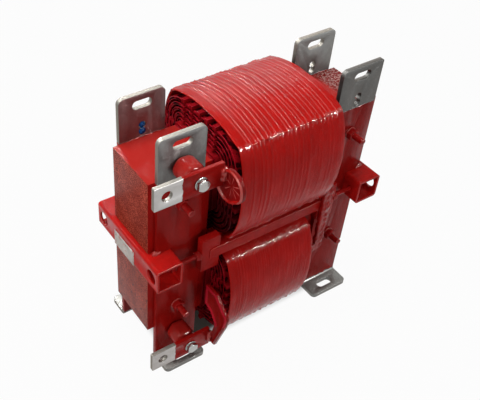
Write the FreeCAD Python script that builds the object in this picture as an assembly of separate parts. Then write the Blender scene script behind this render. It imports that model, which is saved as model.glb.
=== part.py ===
import FreeCAD, Part
import math
import os

os.makedirs("parts", exist_ok=True)

# A chopper inductor: two coils on the two horizontal limbs of a laminated core, one above the other.
# Millimetres. X runs along the coils, the terminals stand at -X on the -Y side, Z is up.
# The origin lies on the floor, midway between the four feet.

# Core
core_mid_z = 179.0
yoke_height = 243.0
yoke_outer_x = 161.5
yoke_width = 81.5
core_depth = 76.0
limb_offset_z = 85.0
limb_height = 73.0
gap_thickness = 3.0
blocks_per_limb = 3

# Strip brackets of 60 x 6 flat bar
strip_width = 60.0
strip_thickness = 6.0
strip_centre_x = 123.0
strip_rise = 57.5
strip_corner_r = 7.0
strip_sharp_corner_r = 2.5
strip_bend_r = 3.0
foot_reach = 28.0
foot_corner_r = 6.0
slot_length = 25.0
slot_width = 11.0
top_slot_drop = 13.0
foot_slot_from_strip = 15.0
fixing_hole_d = 9.0
fixing_hole_pitch = 8.8

# Cross tubes of 35 x 35 x 3 square section
tube_size = 35.0
tube_wall = 3.0
tube_corner_r = 4.0
tube_half_length = 70.0
tube_stand_off = 6.5
access_hole_d = 19.0
weld_d = 5.0
weld_length = 10.0
weld_throat = 1.25
rod_y = 56.0

# Tie rods, M6, with the spacer bars and the clamps that hold them between the coils
rod_d = 6.0
rod_nut_af = 10.0
rod_nut_height = 5.0
rod_washer_d = 12.0
rod_washer_thickness = 1.6
rod_stub = 4.0
clamp_inner_x = 76.2
clamp_length = 25.0
clamp_height = 50.0
clamp_thickness = 10.0
clamp_web = 11.0
clamp_centre_y = 56.0
clamp_notch_r = 3.0
bar_height = 15.6
bar_depth = 12.0
bar_bore_d = 6.4

# Windings: layers of flat copper wire held apart by sticks, with the limb tube inside and the varnished
# wrap outside
wrap_left_end = 68.0
upper_wrap_right_end = 76.0
lower_wrap_right_end = 61.0
winding_left_end = 72.0
upper_winding_right_end = 75.0
lower_winding_right_end = 60.0
wire_width = 7.0
layers = 5
layer_thickness = 3.6
duct_thickness = 2.8
outer_duct_thickness = 6.0
winding_inner_r = 6.0
riser_height = 14.0
stick_width = 5.0
sticks_across = 5
stick_spacing_y = 15.0
stick_spacing_z = 14.5
stick_overhang = 3.0
limb_tube_wall = 3.2
limb_tube_overhang = 2.5
wrap_wall = 2.4
wrap_rib_height = 0.8
wrap_rib_width = 4.2
wrap_rib_pitch = 7.2
wrap_edge_band = 12.0

# Terminals, leads and their insulators
bar_section_width = 30.0
bar_section_thickness = 5.0
terminal_left_x = 179.0
terminal_hole_from_end = 15.5
terminal_hole_d = 13.0
terminal_corner_r = 1.5
terminal_rise = 16.5
terminal_drop = 10.5
standoff_af = 28.6
standoff_length = 27.0
standoff_end_d = 27.4
standoff_screw_d = 8.0
collar_d = 20.0
collar_thickness = 3.0
lead_face_x = 94.0
lead_width = 39.0
lead_thickness = 4.0
lead_stem_d = 18.0
upper_lead_nose_y = 92.5
upper_lead_nose_drop = 8.0
upper_lead_heel_y = 84.5
upper_lead_heel_drop = 14.0
upper_stem_root_y = 60.0
upper_stem_root_rise = 9.0
lower_lead_back_y = 64.0
lower_lead_top_rise = 37.0
lower_lead_back_rise = 4.0
lower_lead_shoulder_y = 85.0
lower_lead_nose_y = 110.0
lower_lead_nose_rise = 63.0
lower_lead_chin_y = 107.0
lower_lead_chin_rise = 45.0
lower_lead_toe_y = 90.0
lower_lead_foot_drop = 7.0
lower_lead_shin_y = 78.0
lower_lead_knee_y = 87.5
lower_lead_knee_drop = 14.0
lower_lead_throat_y = 77.0
lower_lead_nose_r = 10.0
lower_lead_bend_r = 6.0
lower_stem_tab_y = 75.0
lower_stem_tab_rise = 20.0
lower_stem_root_y = 56.0
lower_stem_root_drop = 1.0
terminal_weld_d = 6.0
terminal_weld_length = 14.0
link_left_x = 77.5
link_width = 13.0
link_thickness = 5.0
link_front_y = 67.0
link_top_drop = 47.0
link_bottom_rise = 6.0
link_corner_r = 9.0

# M8 fasteners
bolt_d = 8.0
bolt_af = 13.0
bolt_head_height = 5.3
nut_height = 6.5
washer_d = 16.0
washer_thickness = 1.6
stud_projection = 23.0
stud_hole_d = 8.6

# Blank rating plate on the left cross tube
plate_length = 46.0
plate_height = 22.5
plate_thickness = 0.8
plate_centre_y = 5.0
plate_centre_z = 173.5
plate_corner_r = 1.0

# Clearances
slide_clearance = 0.2
cut_margin = 1.0
line_tolerance = 1e-6

# Hexagons
hexagon_sides = 6
hexagon_turn = math.pi / hexagon_sides
head_bevel = math.radians(30.0)
standoff_bevel = math.radians(35.0)

# Sizes that follow from the ones above
core_half_depth = core_depth / 2
strip_outer_y = core_half_depth + strip_thickness
yoke_inner_x = yoke_outer_x - yoke_width
yoke_bottom_z = core_mid_z - yoke_height / 2
yoke_top_z = core_mid_z + yoke_height / 2
upper_limb_z = core_mid_z + limb_offset_z
lower_limb_z = core_mid_z - limb_offset_z
tube_outer_x = yoke_outer_x + tube_stand_off
tube_inner_x = tube_outer_x - tube_size
tube_centre_x = tube_outer_x - tube_size / 2
limb_length = 2 * yoke_inner_x
block_length = (limb_length - (blocks_per_limb + 1) * gap_thickness) / blocks_per_limb
limb_tube_half_y = core_half_depth + slide_clearance + limb_tube_wall
limb_tube_half_z = limb_height / 2 + slide_clearance + limb_tube_wall
limb_tube_half_length = yoke_inner_x - limb_tube_overhang
winding_half_y = limb_tube_half_y + slide_clearance
winding_half_z = limb_tube_half_z + slide_clearance
layer_pitch = layer_thickness + duct_thickness
winding_build = layers * layer_pitch - duct_thickness
wrap_inset = winding_build + outer_duct_thickness
wrap_inner_y = winding_half_y + wrap_inset
wrap_inner_z = winding_half_z + wrap_inset
wrap_inner_r = winding_inner_r + wrap_inset
clamp_outer_x = clamp_inner_x + clamp_length
stick_end_x = winding_left_end + stick_overhang
standoff_tip_y = strip_outer_y + standoff_length
bar_back_y = standoff_tip_y + collar_thickness
bar_front_y = bar_back_y + bar_section_thickness
strip_height = yoke_top_z + strip_rise
top_slot_z = strip_height - top_slot_drop
upper_terminal_z = yoke_top_z + terminal_rise
lower_terminal_z = yoke_bottom_z - terminal_drop
upper_lead_nose_z = upper_terminal_z - upper_lead_nose_drop
upper_lead_heel_z = upper_terminal_z - upper_lead_heel_drop
lower_lead_top_z = lower_limb_z + lower_lead_top_rise
lower_lead_back_z = lower_limb_z + lower_lead_back_rise
lower_lead_nose_z = lower_terminal_z + lower_lead_nose_rise
lower_lead_chin_z = lower_terminal_z + lower_lead_chin_rise
lower_lead_foot_z = lower_terminal_z - lower_lead_foot_drop
lower_lead_knee_z = lower_limb_z - lower_lead_knee_drop
lead_middle_x = lead_face_x - lead_thickness / 2
link_right_x = link_left_x + link_width
link_back_y = link_front_y - link_thickness
link_top_z = upper_limb_z - link_top_drop
link_bottom_z = lower_limb_z + link_bottom_rise

X = FreeCAD.Vector(1, 0, 0)
Y = FreeCAD.Vector(0, 1, 0)
Z = FreeCAD.Vector(0, 0, 1)
ORIGIN = FreeCAD.Vector(0, 0, 0)
FRONT = -1
BACK = 1
LEFT = -1
RIGHT = 1
CORNERS_UP = 0.0
FLATS_UP = hexagon_turn


def vec(x, y, z):
    return FreeCAD.Vector(x, y, z)


def save(shape, node):
    shape.exportStep("parts/" + node + ".step")


def centred_box(size_x, size_y, size_z, centre):
    corner = centre - vec(size_x / 2, size_y / 2, size_z / 2)
    return Part.makeBox(size_x, size_y, size_z, corner)


def span_box(x0, x1, y0, y1, z0, z1):
    low = vec(min(x0, x1), min(y0, y1), min(z0, z1))
    return Part.makeBox(abs(x1 - x0), abs(y1 - y0), abs(z1 - z0), low)


def rod_along(axis, diameter, start, length):
    return Part.makeCylinder(diameter / 2, length, start, axis)


def mirror_x(shape):
    return shape.mirror(ORIGIN, X)


def mirror_y(shape):
    return shape.mirror(ORIGIN, Y)


def polygon_face(points):
    return Part.Face(Part.makePolygon(points + [points[0]]))


def fused(solids):
    shape = solids[0].multiFuse(solids[1:]) if len(solids) > 1 else solids[0]
    return shape.removeSplitter()


def rounded_wire(half_y, half_z, radius, x, centre_z):
    """Rectangle with round corners in the plane of a coil turn."""
    y_in = half_y - radius
    z_in = half_z - radius
    k = radius * math.sqrt(0.5)
    edges = []
    for sy, sz in ((1, 1), (-1, 1), (-1, -1), (1, -1)):
        centre = vec(x, sy * y_in, centre_z + sz * z_in)
        on_y = centre + vec(0, sy * radius, 0)
        on_z = centre + vec(0, 0, sz * radius)
        middle = centre + vec(0, sy * k, sz * k)
        first, last = (on_y, on_z) if sy == sz else (on_z, on_y)
        edges.append(Part.Arc(first, middle, last).toShape())
    joined = []
    for i, edge in enumerate(edges):
        following = edges[(i + 1) % len(edges)]
        joined.append(edge)
        joined.append(Part.makeLine(edge.Vertexes[-1].Point, following.Vertexes[0].Point))
    return Part.Wire(joined)


def rounded_prism(half_y, half_z, radius, x0, x1, centre_z):
    face = Part.Face(rounded_wire(half_y, half_z, radius, x0, centre_z))
    return face.extrude(vec(x1 - x0, 0, 0))


def hex_prism(across_flats, height, base, axis, turn):
    """Hexagon standing on base and growing along axis; turn 0 has a corner at the top."""
    radius = across_flats / 2 / math.cos(hexagon_turn)
    side = axis.cross(Z)
    points = []
    for i in range(hexagon_sides):
        angle = turn + 2 * hexagon_turn * i
        points.append(base + side * (radius * math.sin(angle)) + Z * (radius * math.cos(angle)))
    return polygon_face(points).extrude(axis * height)


def chamfered_hex(across_flats, height, base, axis):
    """Hexagon head or nut whose free face is turned down to a cone at the corners."""
    cone_top = across_flats / 2
    cone_base = cone_top + (height + cut_margin) / math.tan(head_bevel)
    crown = Part.makeCone(cone_base, cone_top, height + cut_margin, base - axis * cut_margin, axis)
    return hex_prism(across_flats, height, base, axis, CORNERS_UP).common(crown)


def washer(outer_d, inner_d, thickness, base, axis):
    disc = Part.makeCylinder(outer_d / 2, thickness, base, axis)
    hole = Part.makeCylinder(inner_d / 2, thickness + 2 * cut_margin, base - axis * cut_margin, axis)
    return disc.cut(hole)


def slot_prism(length, width, centre, axis, depth):
    """Slot cutter that is long in X and runs through along axis."""
    side = axis.cross(X)
    half = (length - width) / 2
    r = width / 2
    a = centre + X * (-half) + side * r
    b = centre + X * half + side * r
    c = centre + X * half - side * r
    d = centre + X * (-half) - side * r
    right_tip = centre + X * (half + r)
    left_tip = centre - X * (half + r)
    wire = Part.Wire([
        Part.makeLine(a, b),
        Part.Arc(b, right_tip, c).toShape(),
        Part.makeLine(c, d),
        Part.Arc(d, left_tip, a).toShape(),
    ])
    return Part.Face(wire).extrude(axis * depth)


def edges_where(shape, test):
    return [edge for edge in shape.Edges if test(edge)]


def is_along(edge, axis):
    if not isinstance(edge.Curve, Part.Line):
        return False
    direction = edge.Vertexes[-1].Point - edge.Vertexes[0].Point
    return direction.cross(axis).Length < line_tolerance * direction.Length


def corner_edges(shape, axis, point):
    """Straight edges along axis that pass through point, for rounding one corner of a profile."""
    return edges_where(shape, lambda e: is_along(e, axis) and passes(e, axis, point))


def passes(edge, axis, point):
    return (edge.Vertexes[0].Point - point).cross(axis).Length < cut_margin


# Core: two yokes at the ends, each notched on its outer side for the cross tube, and the limbs between them

def yoke():
    half_y = core_half_depth
    body = span_box(-yoke_outer_x, -yoke_inner_x, -half_y, half_y, yoke_bottom_z, yoke_top_z)
    notch = centred_box(
        tube_size + 2 * slide_clearance, core_depth + 2 * cut_margin, tube_size + 2 * slide_clearance,
        vec(-tube_centre_x, 0, core_mid_z),
    )
    body = body.cut(notch)
    for limb_z in (upper_limb_z, lower_limb_z):
        start = vec(-strip_centre_x, -core_half_depth - cut_margin, limb_z)
        body = body.cut(rod_along(Y, stud_hole_d, start, core_depth + 2 * cut_margin))
    return body


def limb_pieces(limb_z):
    blocks = []
    spacers = []
    x = -yoke_inner_x
    for i in range(blocks_per_limb + 1):
        spacers.append(limb_slice(x, gap_thickness, limb_z))
        x += gap_thickness
        if i < blocks_per_limb:
            blocks.append(limb_slice(x, block_length, limb_z))
            x += block_length
    return Part.makeCompound(blocks), Part.makeCompound(spacers)


def limb_slice(x, length, limb_z):
    half_z = limb_height / 2
    return span_box(x, x + length, -core_half_depth, core_half_depth, limb_z - half_z, limb_z + half_z)


def limb_tube(limb_z):
    """Insulating tube between a limb and its winding."""
    inner_y = core_half_depth + slide_clearance
    inner_z = limb_height / 2 + slide_clearance
    length = limb_tube_half_length
    outer_r = winding_inner_r - slide_clearance
    outer = rounded_prism(limb_tube_half_y, limb_tube_half_z, outer_r, -length, length, limb_z)
    inner = span_box(-length, length, -inner_y, inner_y, limb_z - inner_z, limb_z + inner_z)
    return outer.cut(inner)


# Windings

def layer_tube(i, x0, x1, limb_z):
    """One layer of the winding: turns of flat wire lying edge to edge."""
    inset = i * layer_pitch
    outset = inset + layer_thickness
    outer = rounded_prism(
        winding_half_y + outset, winding_half_z + outset, winding_inner_r + outset, x0, x1, limb_z
    )
    inner = rounded_prism(
        winding_half_y + inset, winding_half_z + inset, winding_inner_r + inset, x0, x1, limb_z
    )
    return outer.cut(inner)


def winding(limb_z, right_end):
    """Layers of flat wire, each joined to the next by a riser on the back leg, at alternate ends."""
    pieces = []
    for i in range(layers):
        pieces.append(layer_tube(i, -winding_left_end, right_end, limb_z))
        if i < layers - 1:
            x0 = right_end - wire_width if i % 2 else -winding_left_end
            y0 = winding_half_y + i * layer_pitch
            z0 = limb_z - riser_height / 2
            riser = span_box(
                x0, x0 + wire_width, y0, y0 + layer_pitch + layer_thickness, z0, z0 + riser_height
            )
            pieces.append(riser)
    return fused(pieces)


def layer_sticks(limb_z, right_end):
    """Insulating sticks along the coil that hold the layers, and the wrap, apart for cooling air."""
    half = stick_width / 2
    sticks = []
    for i in range(layers):
        gap = duct_thickness if i < layers - 1 else outer_duct_thickness
        inset = i * layer_pitch + layer_thickness
        for side in (-1, 1):
            for k in range(sticks_across):
                step = k - (sticks_across - 1) / 2
                y = step * stick_spacing_y
                z0 = limb_z + side * (winding_half_z + inset)
                sticks.append(span_box(-stick_end_x, right_end, y - half, y + half, z0, z0 + side * gap))
                z = limb_z + step * stick_spacing_z
                y0 = side * (winding_half_y + inset)
                if not riser_is_there(i, side, step):
                    sticks.append(
                        span_box(-winding_left_end, right_end, y0, y0 + side * gap, z - half, z + half)
                    )
    return Part.makeCompound(sticks)


def riser_is_there(i, side, step):
    return side == BACK and step == 0 and i < layers - 1


def wrap(limb_z, right_end):
    """Varnished tape wrap round a winding, a little proud wherever one lap of tape lies over the next."""
    wall_y = wrap_inner_y + wrap_wall
    wall_z = wrap_inner_z + wrap_wall
    wall_r = wrap_inner_r + wrap_wall
    bands = [rounded_prism(wall_y, wall_z, wall_r, -wrap_left_end, right_end, limb_z)]
    rib = wrap_rib_height
    x0 = -wrap_left_end + wrap_edge_band
    while x0 + wrap_rib_width < right_end:
        bands.append(
            rounded_prism(wall_y + rib, wall_z + rib, wall_r + rib, x0, x0 + wrap_rib_width, limb_z)
        )
        x0 += wrap_rib_pitch
    bore = rounded_prism(
        wrap_inner_y, wrap_inner_z, wrap_inner_r, -wrap_left_end - cut_margin, right_end + cut_margin, limb_z
    )
    return fused(bands).cut(bore)


# Strip brackets: flat bar down the front or back of a yoke, bent outwards at the floor into a foot

def strip_profile():
    """Side view of the front strip, drawn in the YZ plane at the outer X edge."""
    x = -strip_centre_x - strip_width / 2
    inner_y = -core_half_depth
    outer_y = -strip_outer_y
    toe_y = outer_y - foot_reach
    r_in = strip_bend_r
    r_out = strip_bend_r + strip_thickness
    k = 1 - math.sqrt(0.5)
    wire = Part.Wire([
        Part.makeLine(vec(x, outer_y, strip_height), vec(x, inner_y, strip_height)),
        Part.makeLine(vec(x, inner_y, strip_height), vec(x, inner_y, r_out)),
        Part.Arc(
            vec(x, inner_y, r_out), vec(x, inner_y - r_out * k, r_out * k), vec(x, inner_y - r_out, 0)
        ).toShape(),
        Part.makeLine(vec(x, inner_y - r_out, 0), vec(x, toe_y, 0)),
        Part.makeLine(vec(x, toe_y, 0), vec(x, toe_y, strip_thickness)),
        Part.makeLine(vec(x, toe_y, strip_thickness), vec(x, outer_y - r_in, strip_thickness)),
        Part.Arc(
            vec(x, outer_y - r_in, strip_thickness),
            vec(x, outer_y - r_in * k, strip_thickness + r_in * k),
            vec(x, outer_y, strip_thickness + r_in),
        ).toShape(),
        Part.makeLine(vec(x, outer_y, strip_thickness + r_in), vec(x, outer_y, strip_height)),
    ])
    return Part.Face(wire)


def strip(outer_corner_r):
    """Front left strip with its slots, fixing holes, stud holes and tube notch."""
    body = strip_profile().extrude(X * strip_width)
    outer_x = -strip_centre_x - strip_width / 2
    inner_x = -strip_centre_x + strip_width / 2
    body = body.makeFillet(outer_corner_r, corner_edges(body, Y, vec(outer_x, 0, strip_height)))
    body = body.makeFillet(strip_corner_r, corner_edges(body, Y, vec(inner_x, 0, strip_height)))
    for x in (outer_x, inner_x):
        body = body.makeFillet(foot_corner_r, corner_edges(body, Z, vec(x, -strip_outer_y - foot_reach, 0)))
    through_y = strip_thickness + 2 * cut_margin
    start_y = -strip_outer_y - cut_margin
    top_slot = slot_prism(slot_length, slot_width, vec(-strip_centre_x, start_y, top_slot_z), Y, through_y)
    foot_slot_y = -strip_outer_y - foot_slot_from_strip
    foot_slot = slot_prism(
        slot_length, slot_width, vec(-strip_centre_x, foot_slot_y, -cut_margin), Z, through_y
    )
    body = body.cut(top_slot).cut(foot_slot)
    for hole_z in (upper_terminal_z, upper_terminal_z - fixing_hole_pitch):
        body = body.cut(rod_along(Y, fixing_hole_d, vec(-strip_centre_x, start_y, hole_z), through_y))
    for limb_z in (upper_limb_z, lower_limb_z):
        body = body.cut(rod_along(Y, stud_hole_d, vec(-strip_centre_x, start_y, limb_z), through_y))
    notch = centred_box(
        tube_size + 2 * slide_clearance, 2 * strip_outer_y + 2 * cut_margin, tube_size + 2 * slide_clearance,
        vec(-tube_centre_x, 0, core_mid_z),
    )
    return body.cut(notch)


def with_lower_hole(body):
    """Only the strip that carries the terminals has a fixing hole near the foot."""
    start = vec(-strip_centre_x, -strip_outer_y - cut_margin, lower_terminal_z)
    return body.cut(rod_along(Y, fixing_hole_d, start, strip_thickness + 2 * cut_margin))


# Cross tubes: square hollow section let into the outer side of each yoke

def rounded_square(size, radius, centre_x, y0, length):
    half = size / 2
    body = span_box(
        centre_x - half, centre_x + half, y0, y0 + length, core_mid_z - half, core_mid_z + half
    )
    return body.makeFillet(radius, edges_where(body, lambda e: is_along(e, Y)))


def cross_tube():
    length = 2 * tube_half_length
    outer = rounded_square(tube_size, tube_corner_r, -tube_centre_x, -tube_half_length, length)
    bore = rounded_square(
        tube_size - 2 * tube_wall, tube_corner_r - tube_wall, -tube_centre_x,
        -tube_half_length - cut_margin, length + 2 * cut_margin,
    )
    body = outer.cut(bore)
    for y in (-rod_y, rod_y):
        depth = tube_wall + 2 * cut_margin
        access = rod_along(X, access_hole_d, vec(-tube_outer_x - cut_margin, y, core_mid_z), depth)
        rod_hole = rod_along(X, rod_d, vec(-tube_inner_x - tube_wall - cut_margin, y, core_mid_z), depth)
        body = body.cut(access).cut(rod_hole)
    return body


def tube_welds(neighbours):
    """Short weld beads where a cross tube, a yoke face and a strip edge meet."""
    beads = []
    strip_edge_x = strip_centre_x + strip_width / 2
    for side_y in (FRONT, BACK):
        for side_z in (-1, 1):
            z = core_mid_z + side_z * (tube_size / 2 + weld_throat)
            start = vec(-strip_edge_x - weld_length / 2, side_y * (strip_outer_y - weld_throat), z)
            beads.append(weld_bead(X, weld_d, start, weld_length, neighbours))
    return Part.makeCompound(beads)


def weld_bead(axis, diameter, start, length, neighbours):
    """Round bead with bevelled ends, keeping the part that stands outside its neighbours."""
    bead = rod_along(axis, diameter, start, length)
    bead = bead.makeChamfer(weld_throat, bead.Edges)
    for neighbour in neighbours:
        bead = bead.cut(neighbour)
    return max(bead.Solids, key=lambda solid: solid.Volume)


# Tie rods between the cross tubes, the spacer bars on them and the clamps at their ends

def tie_rods():
    end_x = tube_inner_x + tube_wall + rod_nut_height + rod_washer_thickness + rod_stub
    return Part.makeCompound([
        rod_along(X, rod_d, vec(-end_x, y, core_mid_z), 2 * end_x) for y in (-rod_y, rod_y)
    ])


def rod_hardware():
    """Nuts and washers: inside each tube wall and against the outer end of each clamp."""
    nuts = []
    washers = []
    for y in (-rod_y, rod_y):
        for side in (LEFT, RIGHT):
            seats = (tube_inner_x + tube_wall, clamp_outer_x)
            for seat in seats:
                base = vec(side * seat, y, core_mid_z)
                axis = X * side
                washers.append(washer(rod_washer_d, rod_d, rod_washer_thickness, base, axis))
                nut_base = base + axis * rod_washer_thickness
                nut = chamfered_hex(rod_nut_af, rod_nut_height, nut_base, axis)
                bore = rod_along(axis, rod_d, nut_base - axis * cut_margin, rod_nut_height + 2 * cut_margin)
                nuts.append(nut.cut(bore))
    return Part.makeCompound(nuts), Part.makeCompound(washers)


def clamp():
    """C-shaped insulating clamp at the left end of the front spacer bar, open towards the coils."""
    y0 = -clamp_centre_y - clamp_thickness / 2
    x0 = -clamp_outer_x
    half = clamp_height / 2
    body = span_box(
        x0, -clamp_inner_x, y0, y0 + clamp_thickness, core_mid_z - half, core_mid_z + half
    )
    notch_half = bar_height / 2 + slide_clearance
    y1 = y0 + clamp_thickness
    notch = span_box(
        x0 + clamp_web, -clamp_inner_x + cut_margin, y0 - cut_margin, y1 + cut_margin,
        core_mid_z - notch_half, core_mid_z + notch_half,
    )
    for z in (core_mid_z - notch_half, core_mid_z + notch_half):
        notch = notch.makeFillet(clamp_notch_r, corner_edges(notch, Y, vec(x0 + clamp_web, 0, z)))
    bore = rod_along(X, rod_d, vec(x0 - cut_margin, -rod_y, core_mid_z), clamp_web + 2 * cut_margin)
    return body.cut(notch).cut(bore)


def spacer_bar():
    """Insulating bar round the front tie rod, in the groove between the coils."""
    half = clamp_outer_x - clamp_web - slide_clearance
    body = centred_box(2 * half, bar_depth, bar_height, vec(0, -rod_y, core_mid_z))
    for x in (-half, half):
        for z in (core_mid_z - bar_height / 2, core_mid_z + bar_height / 2):
            body = body.makeFillet(clamp_notch_r, corner_edges(body, Y, vec(x, 0, z)))
    bore = rod_along(X, bar_bore_d, vec(-half - cut_margin, -rod_y, core_mid_z), 2 * half + 2 * cut_margin)
    return body.cut(bore)


# Terminals

def standoff(z):
    """Hexagonal insulator with one flat on top, turned down to a cone at both ends, and its screw bore."""
    base = vec(-strip_centre_x, -strip_outer_y, z)
    end_r = standoff_end_d / 2
    half = standoff_length / 2
    middle_r = end_r + half * math.tan(standoff_bevel)
    cone = Part.makeCone(end_r, middle_r, half, base, -Y)
    far_cone = Part.makeCone(middle_r, end_r, half, base - Y * half, -Y)
    body = hex_prism(standoff_af, standoff_length, base, -Y, FLATS_UP).common(cone.fuse(far_cone))
    bore = rod_along(-Y, standoff_screw_d, base + Y * cut_margin, standoff_length + 2 * cut_margin)
    return body.cut(bore)


def standoff_collar(z):
    base = vec(-strip_centre_x, -standoff_tip_y, z)
    return washer(collar_d, fixing_hole_d, collar_thickness, base, -Y)


def terminal_bar(z):
    half = bar_section_width / 2
    left_x = -terminal_left_x
    body = span_box(left_x, -lead_face_x, -bar_front_y, -bar_back_y, z - half, z + half)
    for corner_z in (z - half, z + half):
        body = body.makeFillet(terminal_corner_r, corner_edges(body, Y, vec(left_x, 0, corner_z)))
    depth = bar_section_thickness + 2 * cut_margin
    start_y = -bar_front_y - cut_margin
    hole_x = left_x + terminal_hole_from_end
    body = body.cut(rod_along(Y, terminal_hole_d, vec(hole_x, start_y, z), depth))
    return body.cut(rod_along(Y, fixing_hole_d, vec(-strip_centre_x, start_y, z), depth))


def terminal_fasteners(z):
    """Bolt and washer in front of a terminal bar, and screw and washer behind the strip."""
    seat = vec(-strip_centre_x, -bar_front_y, z)
    front_washer = washer(washer_d, bolt_d, washer_thickness, seat, -Y)
    head_base = seat - Y * washer_thickness
    head = chamfered_hex(bolt_af, bolt_head_height, head_base, -Y)
    reach = washer_thickness + bar_section_thickness + collar_thickness + standoff_length / 2 - cut_margin
    bolt = fused([head, rod_along(Y, bolt_d, head_base, reach)])
    rear_seat = vec(-strip_centre_x, -core_half_depth, z)
    rear_washer = washer(washer_d, bolt_d, washer_thickness, rear_seat, Y)
    rear_base = rear_seat + Y * washer_thickness
    rear_head = chamfered_hex(bolt_af, bolt_head_height, rear_base, Y)
    rear_reach = washer_thickness + strip_thickness + standoff_length / 2 - cut_margin
    screw = fused([rear_head, rod_along(-Y, bolt_d, rear_base, rear_reach)])
    return bolt, [front_washer, rear_washer], screw


def terminal_weld(z, neighbours):
    """Upright bead in the corner between the front of a terminal bar and its lead."""
    start = vec(-lead_face_x, -bar_front_y, z - terminal_weld_length / 2)
    return weld_bead(Z, terminal_weld_d, start, terminal_weld_length, neighbours)


# Leads: the end of each winding brought forward as a flat tab, and the link between the two coils

def lead_stem(tab_point, root_point):
    """Round stem from the back of a tab to the end of the winding, cut off flush at both."""
    axis = (tab_point - root_point).normalize()
    length = (tab_point - root_point).Length
    stem = rod_along(axis, lead_stem_d, root_point - axis * length, 3 * length)
    between = span_box(
        -lead_middle_x, -winding_left_end, tab_point.y - length, root_point.y + length,
        root_point.z - length, tab_point.z + length,
    )
    return stem.common(between)


def upper_lead():
    """Nearly round tab across the end of the terminal bar, on a stem that rises forward from the winding."""
    x = -lead_face_x
    r = lead_width / 2
    heel = vec(x, -upper_lead_heel_y, upper_lead_heel_z)
    nose = vec(x, -upper_lead_nose_y, upper_lead_nose_z)
    along = (nose - heel).normalize()
    across = along.cross(X)
    wire = Part.Wire([
        Part.makeLine(heel + across * r, nose + across * r),
        Part.Arc(nose + across * r, nose + along * r, nose - across * r).toShape(),
        Part.makeLine(nose - across * r, heel - across * r),
        Part.Arc(heel - across * r, heel - along * r, heel + across * r).toShape(),
    ])
    tab = Part.Face(wire).extrude(X * lead_thickness)
    middle = (heel + nose) * 0.5
    tab_point = vec(-lead_middle_x, middle.y, middle.z)
    root_point = vec(-winding_left_end, -upper_stem_root_y, upper_limb_z + upper_stem_root_rise)
    return fused([tab, lead_stem(tab_point, root_point)])


def lower_lead():
    """Strap that comes forward from the coil, turns down and runs back to the lower terminal bar."""
    x = -lead_face_x
    nose = vec(x, -lower_lead_nose_y, lower_lead_nose_z)
    chin = vec(x, -lower_lead_chin_y, lower_lead_chin_z)
    knee = vec(x, -lower_lead_knee_y, lower_lead_knee_z)
    throat = vec(x, -lower_lead_throat_y, lower_limb_z)
    tab = polygon_face([
        vec(x, -lower_lead_back_y, lower_lead_top_z),
        vec(x, -lower_lead_shoulder_y, lower_lead_top_z),
        nose,
        chin,
        vec(x, -lower_lead_toe_y, lower_lead_foot_z),
        vec(x, -lower_lead_shin_y, lower_lead_foot_z),
        knee,
        throat,
        vec(x, -lower_lead_back_y, lower_lead_back_z),
    ]).extrude(X * lead_thickness)
    tab = tab.makeFillet(lower_lead_nose_r, corner_edges(tab, X, nose))
    for bend in (chin, knee, throat):
        tab = tab.makeFillet(lower_lead_bend_r, corner_edges(tab, X, bend))
    tab_point = vec(-lead_middle_x, -lower_stem_tab_y, lower_limb_z + lower_stem_tab_rise)
    root_point = vec(-winding_left_end, -lower_stem_root_y, lower_limb_z - lower_stem_root_drop)
    return fused([tab, lead_stem(tab_point, root_point)])


def series_link():
    """Flat bar on the right that joins the windings' last layers and passes in front of the clamp."""
    y0 = -link_front_y
    y1 = -link_back_y
    outer_x = link_right_x
    leg = span_box(link_left_x, outer_x, y0, y1, link_bottom_z, link_top_z)
    upper_root = span_box(upper_winding_right_end, outer_x, y0, y1, link_top_z - link_width, link_top_z)
    lower_root = span_box(
        lower_winding_right_end, outer_x, y0, y1, link_bottom_z, link_bottom_z + link_width
    )
    bar = fused([leg, upper_root, lower_root])
    for z in (link_bottom_z, link_top_z):
        bar = bar.makeFillet(link_corner_r, corner_edges(bar, Y, vec(outer_x, 0, z)))
    return bar


# Fasteners through the yokes

def yoke_studs():
    studs = []
    nuts = []
    washers = []
    reach = strip_outer_y + stud_projection
    for side_x in (LEFT, RIGHT):
        for limb_z in (upper_limb_z, lower_limb_z):
            x = side_x * strip_centre_x
            studs.append(rod_along(Y, bolt_d, vec(x, -reach, limb_z), 2 * reach))
            for side_y in (FRONT, BACK):
                axis = Y * side_y
                base = vec(x, side_y * strip_outer_y, limb_z)
                washers.append(washer(washer_d, bolt_d, washer_thickness, base, axis))
                nut_base = base + axis * washer_thickness
                nut = chamfered_hex(bolt_af, nut_height, nut_base, axis)
                bore = rod_along(axis, bolt_d, nut_base - axis * cut_margin, nut_height + 2 * cut_margin)
                nuts.append(nut.cut(bore))
    return Part.makeCompound(studs), Part.makeCompound(nuts), Part.makeCompound(washers)


def rating_plate():
    half_l = plate_length / 2
    half_h = plate_height / 2
    body = span_box(
        -tube_outer_x - plate_thickness, -tube_outer_x, plate_centre_y - half_l, plate_centre_y + half_l,
        plate_centre_z - half_h, plate_centre_z + half_h,
    )
    return body.makeFillet(plate_corner_r, edges_where(body, lambda e: is_along(e, X)))


left_yoke = yoke()
save(left_yoke, "left_yoke")
save(mirror_x(left_yoke), "right_yoke")

coils = (
    ("upper", upper_limb_z, upper_winding_right_end, upper_wrap_right_end),
    ("lower", lower_limb_z, lower_winding_right_end, lower_wrap_right_end),
)
for level, limb_z, winding_end, wrap_end in coils:
    blocks, spacers = limb_pieces(limb_z)
    save(blocks, level + "_limb_blocks")
    save(spacers, level + "_gap_spacers")
    save(limb_tube(limb_z), level + "_limb_tube")
    save(winding(limb_z, winding_end), level + "_winding")
    save(layer_sticks(limb_z, winding_end), level + "_layer_sticks")
    save(wrap(limb_z, wrap_end), level + "_coil_wrap")

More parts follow.
